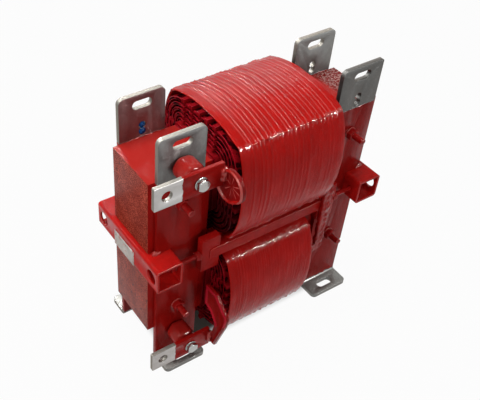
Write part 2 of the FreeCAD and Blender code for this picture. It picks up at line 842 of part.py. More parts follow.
strip_blank = strip(strip_corner_r)
save(with_lower_hole(strip_blank), "front_left_strip")
save(mirror_x(strip(strip_sharp_corner_r)), "front_right_strip")
save(mirror_y(strip_blank), "back_left_strip")
save(mirror_x(mirror_y(strip_blank)), "back_right_strip")

left_tube = cross_tube()
save(left_tube, "left_cross_tube")
save(mirror_x(left_tube), "right_cross_tube")
left_welds = tube_welds([left_tube, left_yoke, strip_blank, mirror_y(strip_blank)])
save(left_welds, "left_tube_welds")
save(mirror_x(left_welds), "right_tube_welds")

save(tie_rods(), "tie_rods")
rod_nuts, rod_washers = rod_hardware()
save(rod_nuts, "tie_rod_nuts")
save(rod_washers, "tie_rod_washers")
front_left_clamp = clamp()
save(front_left_clamp, "front_left_clamp")
save(mirror_x(front_left_clamp), "front_right_clamp")
save(mirror_y(front_left_clamp), "back_left_clamp")
save(mirror_x(mirror_y(front_left_clamp)), "back_right_clamp")
save(spacer_bar(), "front_spacer_bar")
save(mirror_y(spacer_bar()), "back_spacer_bar")

leads = {"upper": upper_lead(), "lower": lower_lead()}
bolts = []
washers = []
screws = []
collars = []
welds = []
for level, z in (("upper", upper_terminal_z), ("lower", lower_terminal_z)):
    bar = terminal_bar(z)
    bolt, level_washers, screw = terminal_fasteners(z)
    bolts.append(bolt)
    washers += level_washers
    screws.append(screw)
    collars.append(standoff_collar(z))
    welds.append(terminal_weld(z, [bar, leads[level]]))
    save(standoff(z), level + "_standoff")
    save(bar, level + "_terminal_bar")
    save(leads[level], level + "_lead")
save(Part.makeCompound(bolts), "terminal_bolts")
save(Part.makeCompound(washers), "terminal_washers")
save(Part.makeCompound(screws), "standoff_screws")
save(Part.makeCompound(collars), "standoff_collars")
save(Part.makeCompound(welds), "terminal_welds")
save(series_link(), "series_link")

studs, stud_nuts, stud_washers = yoke_studs()
save(studs, "yoke_studs")
save(stud_nuts, "stud_nuts")
save(stud_washers, "stud_washers")

save(rating_plate(), "rating_plate")
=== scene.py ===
import math
import random

import bpy
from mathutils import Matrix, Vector


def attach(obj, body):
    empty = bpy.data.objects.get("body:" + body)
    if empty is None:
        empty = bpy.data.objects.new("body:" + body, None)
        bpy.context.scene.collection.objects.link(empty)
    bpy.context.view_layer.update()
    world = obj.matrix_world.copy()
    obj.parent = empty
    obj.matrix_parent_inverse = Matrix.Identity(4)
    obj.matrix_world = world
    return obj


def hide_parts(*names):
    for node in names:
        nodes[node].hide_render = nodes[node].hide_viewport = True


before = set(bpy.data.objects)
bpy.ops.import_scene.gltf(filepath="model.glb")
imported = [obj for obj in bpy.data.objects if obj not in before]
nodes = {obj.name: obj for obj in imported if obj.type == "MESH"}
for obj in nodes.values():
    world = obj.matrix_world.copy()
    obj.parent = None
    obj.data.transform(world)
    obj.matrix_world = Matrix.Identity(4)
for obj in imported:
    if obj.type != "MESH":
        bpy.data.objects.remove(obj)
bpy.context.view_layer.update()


# Studio. A pale floor that runs far past the picture, with shade painted into its colour under the object,
# soft lamps overhead, behind, in front and at the left, and three narrow bright lamps that show only as
# glints in the gloss.

def fill(tree, socket, value):
    """A socket set to a constant, or linked to another socket."""
    if isinstance(value, bpy.types.NodeSocket):
        tree.links.new(value, socket)
    else:
        socket.default_value = value


def add_node(tree, kind, **values):
    """A shader node with its settings made and its sockets filled, both by name."""
    node = tree.nodes.new(kind)
    for key, value in values.items():
        if key in node.inputs:
            fill(tree, node.inputs[key], value)
        else:
            setattr(node, key, value)
    return node


def math_node(tree, operation, first, second=0.0):
    """A math node on two values, each a socket or a number."""
    node = add_node(tree, "ShaderNodeMath", operation=operation)
    fill(tree, node.inputs[0], first)
    fill(tree, node.inputs[1], second)
    return node.outputs[0]


def vector_node(tree, operation, first, second=(0.0, 0.0, 0.0)):
    """A vector math node on two vectors, each a socket or three numbers."""
    node = add_node(tree, "ShaderNodeVectorMath", operation=operation)
    fill(tree, node.inputs[0], first)
    fill(tree, node.inputs[1], second)
    return node.outputs["Value" if operation == "LENGTH" else "Vector"]


def spread(tree, value, low, high, new_low=0.0, new_high=1.0, curve="LINEAR"):
    """A value's range stretched to a new one, held at both ends."""
    node = add_node(tree, "ShaderNodeMapRange", interpolation_type=curve, Value=value)
    node.inputs["From Min"].default_value = low
    node.inputs["From Max"].default_value = high
    node.inputs["To Min"].default_value = new_low
    node.inputs["To Max"].default_value = new_high
    return node.outputs[0]


def blend_colour(tree, amount, first, second):
    """One colour over another by a mask; each is a socket or a colour."""
    node = add_node(tree, "ShaderNodeMix", data_type="RGBA")
    fill(tree, node.inputs[0], amount)
    fill(tree, node.inputs[6], first)
    fill(tree, node.inputs[7], second)
    return node.outputs[2]


def object_place(tree):
    """The place on the object, which lays out its patterns."""
    return add_node(tree, "ShaderNodeTexCoord").outputs["Object"]


def seen_rays(tree):
    """1 for rays that show the surroundings, straight or in a reflection, and 0 for rays that only light."""
    path = add_node(tree, "ShaderNodeLightPath")
    seen = math_node(tree, "MAXIMUM", path.outputs["Is Camera Ray"], path.outputs["Is Glossy Ray"])
    return math_node(tree, "MAXIMUM", seen, path.outputs["Is Transmission Ray"])


def new_material(name):
    """A material with its shader and an empty tree to fill."""
    material = bpy.data.materials.new(name)
    material.use_nodes = True
    tree = material.node_tree
    return material, tree, tree.nodes["Principled BSDF"]


floor_radius = 6.0
floor_grey = (0.50, 0.50, 0.50, 1.0)
painted_shade_grey = (0.13, 0.135, 0.12, 1.0)
shade_reach = (0.120, 0.036, 0.0)
shade_fade = 0.022
floor_white = 0.96

bpy.ops.object.select_all(action="DESELECT")
bpy.ops.mesh.primitive_circle_add(
    vertices=64, radius=floor_radius, fill_type="NGON", location=(0.0, 0.0, 0.0)
)
floor = bpy.context.object
floor.name = "floor"
floor_paint, tree, shader = new_material("pale_floor")
# Painted shade: the floor's colour turns dark grey under the object and fades back to pale just past it.
past_shade = vector_node(tree, "SUBTRACT", vector_node(tree, "ABSOLUTE", object_place(tree)), shade_reach)
away = vector_node(tree, "LENGTH", vector_node(tree, "MAXIMUM", past_shade))
clear = spread(tree, away, 0.0, shade_fade, 0.0, floor_white, "SMOOTHSTEP")
tree.links.new(blend_colour(tree, clear, painted_shade_grey, floor_grey), shader.inputs["Base Color"])
shader.inputs["Roughness"].default_value = 0.9
shader.inputs["Specular IOR Level"].default_value = 0.0
glow = add_node(tree, "ShaderNodeEmission", Strength=1.0)
mixed = add_node(tree, "ShaderNodeMixShader", Fac=math_node(tree, "MULTIPLY", seen_rays(tree), clear))
tree.links.new(shader.outputs[0], mixed.inputs[1])
tree.links.new(glow.outputs[0], mixed.inputs[2])
tree.links.new(mixed.outputs[0], tree.nodes["Material Output"].inputs["Surface"])
floor.data.materials.append(floor_paint)

room_light = 0.15
room_seen = 1.0
world = bpy.data.worlds.new("studio")
bpy.context.scene.world = world
world.use_nodes = True
tree = world.node_tree
room = tree.nodes["Background"]
room.inputs["Color"].default_value = (1.0, 1.0, 1.0, 1.0)
tree.links.new(spread(tree, seen_rays(tree), 0.0, 1.0, room_light, room_seen), room.inputs["Strength"])


def softbox(name, place, width, depth, power, glints=False):
    """An area lamp turned to the coils, or with glints one that shows only in glossy surfaces."""
    bpy.ops.object.light_add(type="AREA", location=place)
    lamp = bpy.context.object
    lamp.name = name
    lamp.data.shape = "RECTANGLE"
    lamp.data.size = width
    lamp.data.size_y = depth
    lamp.data.energy = power
    lamp.visible_diffuse = not glints
    lamp.rotation_euler = (coil_middle - Vector(place)).to_track_quat("-Z", "Y").to_euler()


coil_middle = Vector((0.0, 0.0, 0.20))
softbox("overhead", (-0.30, 0.20, 1.95), 0.9, 0.7, 19.0)
softbox("window_behind", (1.25, 1.45, 1.25), 1.0, 0.7, 7.0)
softbox("front_fill", (0.50, -1.90, 1.00), 0.8, 0.8, 8.0)
softbox("left_fill", (-1.70, -0.10, 0.90), 0.8, 0.8, 9.0)
softbox("ridge_glint", (0.09, 1.25, 1.27), 0.07, 1.10, 32.0, glints=True)
softbox("edge_glint", (-0.79, 0.96, 1.26), 0.12, 0.40, 16.0, glints=True)
softbox("crease_glint", (0.60, -1.22, 1.12), 0.14, 0.70, 55.0, glints=True)

camera_place = Vector((-0.4613, -0.5361, 0.8037))
camera_aim = Vector((-0.10406, 0.06079, 0.16723))
bpy.ops.object.camera_add(location=camera_place)
camera = bpy.context.object
camera.name = "camera"
camera.rotation_euler = (camera_aim - camera_place).to_track_quat("-Z", "Y").to_euler()
camera.data.sensor_width = 36.0
camera.data.lens = 55.09
camera.data.shift_x = 0.1951
camera.data.shift_y = 0.0120
bpy.context.scene.camera = camera
bpy.context.scene.view_settings.view_transform = "Standard"


# Red insulating varnish, the finish that nearly every piece shares. The whole inductor was dipped, so it
# lies in a glossy coat of uneven depth, with runs, small lumps and dust, over whatever texture is beneath.

def new_group(name, inputs, outputs):
    """A shader node group with named sockets: its tree, what it is given and what it gives out."""
    group = bpy.data.node_groups.new(name, "ShaderNodeTree")
    for label, kind, value in inputs:
        socket = group.interface.new_socket(label, in_out="INPUT", socket_type="NodeSocket" + kind)
        socket.default_value = value
    for label, kind in outputs:
        group.interface.new_socket(label, in_out="OUTPUT", socket_type="NodeSocket" + kind)
    given = group.nodes.new("NodeGroupInput").outputs
    result = group.nodes.new("NodeGroupOutput").inputs
    return group, given, result


def give_out(tree, result, **values):
    """Link a group's results to its output, by name."""
    for label, value in values.items():
        tree.links.new(value, result[label])


def noise(tree, place, scale, detail=2.0, rough=0.5):
    """Noise from 0 to 1, laid out by a place."""
    node = add_node(tree, "ShaderNodeTexNoise", Vector=place, Scale=scale, Detail=detail, Roughness=rough)
    return node.outputs["Fac"]


def all_of(tree, *masks):
    """Masks and shares multiplied, so that it shows only where every mask does."""
    shared = masks[0]
    for mask in masks[1:]:
        shared = math_node(tree, "MULTIPLY", shared, mask)
    return shared


def weighed(tree, *parts):
    """The sum of some masks, each times its weight."""
    total = all_of(tree, *parts[0])
    for part in parts[1:]:
        total = math_node(tree, "ADD", total, all_of(tree, *part))
    return total


varnish_group, given, result = new_group(
    "dipped_varnish",
    [
        ("Varnish", "Color", (0.5, 0.02, 0.015, 1.0)),
        ("Deep Varnish", "Color", (0.25, 0.006, 0.006, 1.0)),
        ("Grain Stretch", "Vector", (900.0, 900.0, 900.0)),
        ("Grain Amount", "Float", 0.3),
        ("Relief", "Float", 1.0),
    ],
    [("Color", "Color"), ("Roughness", "Float"), ("Normal", "Vector"), ("Height", "Float")],
)
tree = varnish_group
dust_red = (0.75, 0.12, 0.09, 1.0)
run_stretch = (95.0, 95.0, 22.0)
place = object_place(tree)
blotches = spread(tree, noise(tree, place, 26.0, 3.0), 0.35, 0.68)
peel = noise(tree, place, 210.0)
dust = spread(tree, noise(tree, place, 950.0, 1.0), 0.66, 0.74)
runs = noise(tree, vector_node(tree, "MULTIPLY", place, run_stretch), 1.0, 3.0)
runs = spread(tree, runs, 0.38, 0.66)
grain = noise(tree, vector_node(tree, "MULTIPLY", place, given["Grain Stretch"]), 1.0, 3.0, 0.6)
grain = all_of(tree, spread(tree, grain, 0.35, 0.65), given["Grain Amount"])
depth = weighed(tree, (blotches, 0.30), (runs, 0.22), (grain, 0.55))
colour = blend_colour(tree, depth, given["Varnish"], given["Deep Varnish"])
colour = blend_colour(tree, all_of(tree, dust, 0.12), colour, dust_red)
shine = weighed(tree, (spread(tree, runs, 0.0, 1.0, 0.06, 0.13), 1.0), (grain, 0.14))
height = weighed(tree, (peel, 0.55), (grain, 0.7), (runs, 0.5), (dust, 0.35))
relief = add_node(tree, "ShaderNodeBump", Distance=0.0005, Height=height, Strength=given["Relief"])
give_out(tree, result, Color=colour, Roughness=shine, Normal=relief.outputs[0], Height=height)


def varnished(name, red, deep, stretch, grain, relief, gloss=0.05):
    """A material whose whole surface is dipped varnish over a given grain."""
    material, tree, shader = new_material(name)
    coat = add_node(tree, "ShaderNodeGroup", node_tree=varnish_group, name="coat")
    coat.inputs["Varnish"].default_value = (*red, 1.0)
    coat.inputs["Deep Varnish"].default_value = (*deep, 1.0)
    coat.inputs["Grain Stretch"].default_value = stretch
    coat.inputs["Grain Amount"].default_value = grain
    coat.inputs["Relief"].default_value = relief
    tree.links.new(coat.outputs["Color"], shader.inputs["Base Color"])
    tree.links.new(coat.outputs["Roughness"], shader.inputs["Roughness"])
    tree.links.new(coat.outputs["Normal"], shader.inputs["Normal"])
    shader.inputs["Specular IOR Level"].default_value = gloss
    shader.inputs["Specular Tint"].default_value = (1.0, 0.88, 0.80, 1.0)
    return material


def paint_over(material, mask, colour):
    """Another colour on a varnished material, over what it has, as far as a mask lets it show."""
    tree = material.node_tree
    base = tree.nodes["Principled BSDF"].inputs["Base Color"]
    tree.links.new(blend_colour(tree, mask, base.links[0].from_socket, colour), base)


bead_paint = varnished(
    "varnish_gathered_on_edges", red=(0.60, 0.010, 0.008), deep=(0.30, 0.005, 0.004),
    stretch=(500.0, 500.0, 500.0), grain=0.2, relief=1.6, gloss=0.8,
)


# Yokes. Two upright stacks of core laminations, pressed and bonded, under dipped varnish. The sheets lie
# flat to the front, so the outer sides are sheet edges, which show through the thin coat as a rough,
# browner red with dark pits and light flecks; the flecks are painted glints. The tops are painted a lighter,
# pinker red as painted light, and the outer part of the right yoke's top carries painted pink glints.

def select_only(piece):
    """The piece selected alone and made active, for the operators that follow."""
    bpy.ops.object.select_all(action="DESELECT")
    piece.select_set(True)
    bpy.context.view_layer.objects.active = piece


def hand_over(piece, node):
    """The piece stands for a CAD node on the one body."""
    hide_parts(node)
    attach(piece, "root")


def dressed(node, name, edge, material, rim=bead_paint):
    """A CAD node's own shape with its triangles joined and its edges eased, shown in the node's place."""
    piece = bpy.data.objects.new(name, nodes[node].data.copy())
    bpy.context.scene.collection.objects.link(piece)
    piece.data.materials.clear()
    piece.data.materials.append(material)
    if rim is not material:
        piece.data.materials.append(rim)
    select_only(piece)
    bpy.ops.object.mode_set(mode="EDIT")
    bpy.ops.mesh.select_all(action="SELECT")
    bpy.ops.mesh.remove_doubles(threshold=0.00001)
    bpy.ops.mesh.dissolve_limited(angle_limit=math.radians(1.0))
    bpy.ops.object.mode_set(mode="OBJECT")
    if edge:
        bpy.ops.object.modifier_add(type="BEVEL")
        ease = piece.modifiers[-1]
        ease.width = edge
        ease.segments = 2
        ease.material = len(piece.data.materials) - 1
        ease.limit_method = "ANGLE"
        ease.angle_limit = math.radians(30.0)
        bpy.ops.object.modifier_apply(modifier=ease.name)
    bpy.ops.object.shade_smooth_by_angle(angle=math.radians(35.0))
    hand_over(piece, node)
    return piece


def axes_of(tree, vector):
    """The X, Y and Z of a place or a direction, by name."""
    return add_node(tree, "ShaderNodeSeparateXYZ", Vector=vector).outputs


def facing_axes(tree):
    """How far the surface faces along X, Y and Z, by name."""
    return axes_of(tree, add_node(tree, "ShaderNodeTexCoord").outputs["Normal"])


edge_group, given, result = new_group(
    "sheet_edges",
    [("Ground", "Color", (0.20, 0.010, 0.005, 1.0)), ("Glint Fleck", "Color", (0.80, 0.130, 0.072, 1.0))],
    [("Color", "Color"), ("Height", "Float")],
)
tree = edge_group
pock_red = (0.10, 0.003, 0.003, 1.0)
place = object_place(tree)
# The light flecks on the sheet edges are painted glints; the dark pocks are pits in the coat.
glint_flecks = spread(tree, noise(tree, place, 900.0, 3.0, 0.7), 0.42, 0.58)
drift = spread(tree, noise(tree, place, 60.0, 3.0), 0.38, 0.62, 0.60, 1.0)
pocks = spread(tree, noise(tree, place, 190.0, 1.0), 0.70, 0.74)
colour = blend_colour(tree, all_of(tree, glint_flecks, drift), given["Ground"], given["Glint Fleck"])
colour = blend_colour(tree, all_of(tree, pocks, 0.8), colour, pock_red)
give_out(tree, result, Color=colour, Height=math_node(tree, "SUBTRACT", glint_flecks, pocks))

yoke_paint = varnished(
    "yoke_varnish_on_laminations", red=(0.46, 0.008, 0.006), deep=(0.18, 0.004, 0.003),
    stretch=(300.0, 1500.0, 300.0), grain=0.15, relief=0.7, gloss=0.02,
)
tree = yoke_paint.node_tree
painted_top_light_red = (0.55, 0.030, 0.024, 1.0)
painted_frost_glint_pink = (1.0, 0.55, 0.50, 1.0)
edges = add_node(tree, "ShaderNodeGroup", node_tree=edge_group).outputs
place = object_place(tree)
facing = facing_axes(tree)
outer_side = spread(tree, math_node(tree, "ABSOLUTE", facing["X"]), 0.6, 0.8)
top = spread(tree, facing["Z"], 0.6, 0.8)
right_top = all_of(tree, spread(tree, axes_of(tree, place)["X"], 0.124, 0.134), top)
lumps = spread(tree, noise(tree, place, 420.0), 0.50, 0.56)
paint_over(yoke_paint, outer_side, edges["Color"])
# Painted light: the faces that look up are painted a lighter, pinker red.
paint_over(yoke_paint, all_of(tree, top, 0.85), painted_top_light_red)
# Painted glints: pink-white spots on the outer part of the right yoke's top.
paint_over(yoke_paint, all_of(tree, lumps, right_top), painted_frost_glint_pink)
coarse = weighed(tree, (outer_side, 1.0), (right_top, 3.0))
relief = add_node(tree, "ShaderNodeBump", Distance=0.0005, Height=all_of(tree, coarse, edges["Height"]))
tree.links.new(tree.nodes["coat"].outputs["Normal"], relief.inputs["Normal"])
tree.links.new(relief.outputs[0], tree.nodes["Principled BSDF"].inputs["Normal"])
for side in ("left", "right"):
    dressed(side + "_yoke", side + "_yoke_stack", 0.0008, yoke_paint, rim=yoke_paint)


# Strip brackets. Flat steel bar bent out into feet, bolted to the yokes before the dip. The varnish lies
# between two rough lines, just above the yokes and just above the floor, and the bar is bare and dull
# beyond them.

steel_group, given, result = new_group(
    "bare_bar",
    [
        ("Steel", "Color", (0.34, 0.34, 0.34, 1.0)),
        ("Stain", "Color", (0.16, 0.13, 0.12, 1.0)),
        ("Brush Stretch", "Vector", (1500.0, 1500.0, 60.0)),
        ("Sheared", "Float", 0.0),
    ],
    [("Color", "Color"), ("Roughness", "Float"), ("Height", "Float")],
)
tree = steel_group
sheared_grey = (0.185, 0.175, 0.155, 1.0)
place = object_place(tree)
brush = noise(tree, vector_node(tree, "MULTIPLY", place, given["Brush Stretch"]), 1.0)
clouds = spread(tree, noise(tree, place, 42.0, 4.0, 0.6), 0.38, 0.70)
pits = spread(tree, noise(tree, place, 620.0, 3.0), 0.58, 0.72)
colour = blend_colour(tree, all_of(tree, clouds, 0.55), given["Steel"], given["Stain"])
colour = blend_colour(tree, all_of(tree, pits, 0.25), colour, given["Stain"])
colour = blend_colour(tree, given["Sheared"], colour, sheared_grey)
rough = weighed(tree, (spread(tree, clouds, 0.0, 1.0, 0.34, 0.52), 1.0), (brush, 0.12))
height = weighed(tree, (brush, 0.35), (pits, -0.5))
give_out(tree, result, Color=colour, Roughness=rough, Height=height)


def bare_metal(tree, steel, stain, stretch):
    """Bare bar in given colours, brushed along a given stretch."""
    metal = add_node(tree, "ShaderNodeGroup", node_tree=steel_group)
    metal.inputs["Steel"].default_value = (*steel, 1.0)
    metal.inputs["Stain"].default_value = (*stain, 1.0)
    metal.inputs["Brush Stretch"].default_value = stretch
    return metal


def blend_value(tree, amount, first, second):
    """One value over another by a mask."""
    node = add_node(tree, "ShaderNodeMix")
    fill(tree, node.inputs[0], amount)
    fill(tree, node.inputs[2], first)
    fill(tree, node.inputs[3], second)
    return node.outputs[0]


def half_bare(name, red, deep, steel, stain, stretch, mask_of, shear=1.0):
    """Varnish over bare metal: a mask says where it is bare, and shear how far its sheared edges differ."""
    material = varnished(name, red, deep, stretch=(700.0, 700.0, 700.0), grain=0.2, relief=1.0)
    tree = material.node_tree
    shader = tree.nodes["Principled BSDF"]
    coat = tree.nodes["coat"].outputs
    metal = bare_metal(tree, steel, stain, stretch)
    place = object_place(tree)
    side_on = spread(tree, math_node(tree, "ABSOLUTE", facing_axes(tree)["Y"]), 0.75, 0.35)
    above_foot = spread(tree, axes_of(tree, place)["Z"], 0.012, 0.020, 0.35, 1.0)
    tree.links.new(all_of(tree, side_on, shear, above_foot), metal.inputs["Sheared"])
    bare = mask_of(tree, place)
    paint_over(material, bare, metal.outputs["Color"])
    rough = blend_value(tree, bare, coat["Roughness"], metal.outputs["Roughness"])
    tree.links.new(rough, shader.inputs["Roughness"])
    tree.links.new(all_of(tree, bare, 0.9), shader.inputs["Metallic"])
    coat_height = math_node(tree, "ADD", coat["Height"], 1.2)
    height = blend_value(tree, bare, coat_height, metal.outputs["Height"])
    relief = add_node(tree, "ShaderNodeBump", Distance=0.0004, Height=height)
    tree.links.new(relief.outputs[0], shader.inputs["Normal"])
    return material


def ragged(tree, place, along, grain, reach):
    """A distance along the object made uneven, so that a line drawn at one value of it wanders."""
    wander = math_node(tree, "SUBTRACT", noise(tree, place, grain, 3.0), 0.5)
    return math_node(tree, "ADD", along, math_node(tree, "MULTIPLY", wander, reach))


# Each line is two heights: where the varnish starts to thin, and where the bar is bare.
upper_line = (0.3005, 0.3012)
lower_line = (0.0088, 0.0080)
painted_reflection_share = 0.3


def strip_bare_mask(tree, place):
    """Bare above the yokes and on the feet, with a painted red reflection on the back left bar's flat sides.
    """
    where = axes_of(tree, place)
    level = ragged(tree, place, where["Z"], 130.0, 0.006)
    top = spread(tree, level, *upper_line)
    foot = spread(tree, level, *lower_line)
    flat = spread(tree, math_node(tree, "ABSOLUTE", facing_axes(tree)["Y"]), 0.6, 0.95)
    left = spread(tree, where["X"], -0.09, -0.10)
    back = spread(tree, where["Y"], 0.0, 0.01)
    # Painted reflection: some of the coils' red mixed into the bare steel on the back left bar's flat sides.
    painted_reflection = all_of(tree, left, flat, back, painted_reflection_share)
    bare_under_reflection = all_of(tree, top, math_node(tree, "SUBTRACT", 1.0, painted_reflection))
    return math_node(tree, "MAXIMUM", bare_under_reflection, foot)


strip_paint = half_bare(
    "strip_bar_and_varnish", red=(0.40, 0.008, 0.006), deep=(0.18, 0.004, 0.003),
    steel=(0.175, 0.18, 0.175), stain=(0.095, 0.085, 0.080), stretch=(1400.0, 1400.0, 70.0),
    mask_of=strip_bare_mask,
)
tree = strip_paint.node_tree
dull_grey = (0.070, 0.070, 0.068, 1.0)
where = axes_of(tree, object_place(tree))
top = spread(tree, where["Z"], 0.300, 0.302, 0.0, 0.9)
right = spread(tree, where["X"], 0.0, 0.01)
front = spread(tree, where["Y"], 0.0, -0.01)
paint_over(strip_paint, all_of(tree, top, right, front), dull_grey)
for corner in ("front_left", "front_right", "back_left", "back_right"):
    dressed(corner + "_strip", corner + "_strip_bar", 0.0007, strip_paint, rim=strip_paint)


# Blue plug. Soft blue sealant pressed into the two touching fixing holes of the back left strip, standing a
# little proud in two lobes.

plug_x = -0.123
plug_y = 0.0395
plug_flatness = 0.75
lobe_heights_and_radii = ((0.3170, 0.0040), (0.3085, 0.0050))
pale_blue = (0.008, 0.130, 0.420, 1.0)
deep_blue = (0.003, 0.035, 0.190, 1.0)

plug_paint, tree, shader = new_material("blue_sealant")
mottle = spread(tree, noise(tree, object_place(tree), 420.0, 3.0), 0.35, 0.65)
tree.links.new(blend_colour(tree, mottle, deep_blue, pale_blue), shader.inputs["Base Color"])
shader.inputs["Roughness"].default_value = 0.25
shader.inputs["Specular IOR Level"].default_value = 0.1
relief = add_node(tree, "ShaderNodeBump", Distance=0.0006, Height=mottle)
tree.links.new(relief.outputs[0], shader.inputs["Normal"])


def even_skin(piece, face_size):
    """The piece's surface made anew as one closed skin of small even faces."""
    bpy.ops.object.modifier_add(type="REMESH")
    skin = piece.modifiers[-1]
    skin.mode = "VOXEL"
    skin.voxel_size = face_size
    bpy.ops.object.modifier_apply(modifier=skin.name)


lobes = []
for lobe_z, lobe_r in lobe_heights_and_radii:
    middle = (plug_x, plug_y, lobe_z)
    bpy.ops.object.select_all(action="DESELECT")
    bpy.ops.mesh.primitive_uv_sphere_add(segments=24, ring_count=12, radius=lobe_r, location=middle)
    lobes.append(bpy.context.object)
    bpy.ops.object.transform_apply(location=True, rotation=True, scale=True)
    bpy.ops.object.mode_set(mode="EDIT")
    bpy.ops.mesh.select_all(action="SELECT")
    bpy.ops.transform.resize(value=(1.0, plug_flatness, 1.0), center_override=middle)
    bpy.ops.object.mode_set(mode="OBJECT")
plug = lobes[0]
select_only(plug)
lobes[1].select_set(True)
bpy.ops.object.join()
plug.name = "back_left_hole_plug"
even_skin(plug, 0.0004)
bpy.ops.object.shade_smooth_by_angle(angle=math.radians(80.0))
plug.data.materials.clear()
plug.data.materials.append(plug_paint)
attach(plug, "root")


# Cross tubes. Square steel tube let into the outer side of each yoke, open at both ends, with a round hole
# in the outer wall for reaching each tie rod nut. Short weld beads hold the tubes, under the same varnish.

def wrinkle(piece, name, grain, strength, direction="NORMAL", group=""):
    """An uneven skin from a cloud texture, on the whole piece or one group of its points."""
    clouds = bpy.data.textures.new(name, "CLOUDS")
    clouds.noise_scale = grain
    clouds.noise_depth = 2
    bpy.ops.object.modifier_add(type="DISPLACE")
    skin = piece.modifiers[-1]
    skin.texture = clouds
    skin.texture_coords = "LOCAL"
    skin.direction = direction
    skin.strength = strength
    skin.mid_level = 0.5
    skin.vertex_group = group
    bpy.ops.object.modifier_apply(modifier=skin.name)


def lumpy(piece, face_size, grain, strength, swell):
    """A bead or bar that weld spatter and varnish have gathered on, all lumps and drips."""
    select_only(piece)
    even_skin(piece, face_size)
    bpy.ops.object.mode_set(mode="EDIT")
    bpy.ops.mesh.select_all(action="SELECT")
    bpy.ops.transform.shrink_fatten(value=swell)
    bpy.ops.object.mode_set(mode="OBJECT")
    wrinkle(piece, piece.name + "_lumps", grain, strength)
    bpy.ops.object.shade_smooth_by_angle(angle=math.radians(80.0))


tube_paint = varnished(
    "tube_varnish_coat", red=(0.70, 0.014, 0.011), deep=(0.36, 0.007, 0.006),
    stretch=(420.0, 420.0, 420.0), grain=0.25, relief=1.0,
)
weld_paint = varnished(
    "weld_varnish_coat", red=(0.56, 0.012, 0.010), deep=(0.24, 0.005, 0.005),
    stretch=(500.0, 500.0, 500.0), grain=0.3, relief=1.8, gloss=0.6,
)
for side in ("left", "right"):
    dressed(side + "_cross_tube", side + "_tube", 0.0006, tube_paint)
for side in ("left", "right"):
    beads = dressed(side + "_tube_welds", side + "_weld_beads", 0.0, weld_paint, rim=weld_paint)
    lumpy(beads, face_size=0.0005, grain=0.0035, strength=0.0024, swell=0.0006)


# Tie rods, their nuts and washers, the C-shaped clamps that they draw against the coils' ends, and the
# spacer bars in the groove between the coils. The clamps and bars are pressed insulating board, whose layers
# show as fine lines.

fastener_paint = varnished(
    "fastener_varnish_coat", red=(0.46, 0.010, 0.009), deep=(0.16, 0.004, 0.004),
    stretch=(900.0, 900.0, 900.0), grain=0.25, relief=1.2,
)
board_paint = varnished(
    "board_varnish_coat", red=(0.52, 0.009, 0.007), deep=(0.24, 0.005, 0.004),
    stretch=(80.0, 2400.0, 2400.0), grain=0.3, relief=0.8,
)
for part in ("tie_rods", "tie_rod_nuts", "tie_rod_washers"):
    dressed(part, part + "_steel", 0.0003, fastener_paint)
for corner in ("front_left", "front_right", "back_left", "back_right"):
    dressed(corner + "_clamp", corner + "_clamp_board", 0.0008, board_paint)
for side in ("front", "back"):
    dressed(side + "_spacer_bar", side + "_spacer_board", 0.0008, board_paint)


# Coil insides. Layers of flat wire wound on an insulating tube round the gapped limb, with sticks between
# the layers for cooling air. Dip varnish soaks them all dark red. Their eased edges are painted a lighter
# crimson as a painted highlight, and their lower part in the upper coil is painted darker as shade.

soaked_red = (0.030, 0.001, 0.002, 1.0)
painted_shade_red = (0.020, 0.001, 0.002, 1.0)

inner_paint = varnished(
    "winding_varnish_soaked", red=(0.40, 0.006, 0.013), deep=(0.10, 0.001, 0.003),
    stretch=(150.0, 700.0, 700.0), grain=0.5, relief=1.4, gloss=0.0,
)
stick_paint = varnished(
    "stick_varnish_soaked", red=(0.40, 0.008, 0.014), deep=(0.10, 0.002, 0.003),
    stretch=(60.0, 900.0, 900.0), grain=0.4, relief=1.2, gloss=0.0,
)
core_paint = varnished(
    "limb_varnish_soaked", red=(0.20, 0.010, 0.009), deep=(0.05, 0.002, 0.002),
    stretch=(90.0, 2600.0, 90.0), grain=0.5, relief=0.8, gloss=0.0,
)
# Painted highlight: a lighter crimson for the eased edges of the winding parts and the lower lead's rim.
highlight_edge_paint = varnished(
    "winding_edges_painted_highlight", red=(0.62, 0.009, 0.028), deep=(0.22, 0.003, 0.009),
    stretch=(500.0, 500.0, 500.0), grain=0.4, relief=1.2,
)
tree = inner_paint.node_tree
soaked = spread(tree, noise(tree, object_place(tree), 135.0), 0.46, 0.54)
paint_over(inner_paint, soaked, soaked_red)
# Painted shade: the lower part of the upper coil's insides, edges too, painted nearly black.
for paint in (inner_paint, stick_paint, highlight_edge_paint):
    tree = paint.node_tree
    height = axes_of(tree, object_place(tree))["Z"]
    below_middle = spread(tree, height, 0.29, 0.24, 0.0, 0.85)
    in_upper_coil = spread(tree, height, 0.18, 0.19)
    paint_over(paint, all_of(tree, below_middle, in_upper_coil), painted_shade_red)
for level in ("upper", "lower"):
    for part, new_part, edge, material in (
        ("_winding", "_winding_layers", 0.0006, inner_paint),
        ("_layer_sticks", "_sticks", 0.0004, stick_paint),
        ("_limb_tube", "_coil_former", 0.0004, stick_paint),
        ("_limb_blocks", "_limb_stack", 0.0004, core_paint),
        ("_gap_spacers", "_gap_boards", 0.0003, stick_paint),
    ):
        dressed(level + part, level + new_part, edge, material, rim=highlight_edge_paint)


# Coil wraps. Each coil is bound with tape drawn tight over the turns, then dipped: crowned sides meet in
# four tight corners, the laps stand as fine uneven ridges, and the varnish has gathered in beads along the
# corners.

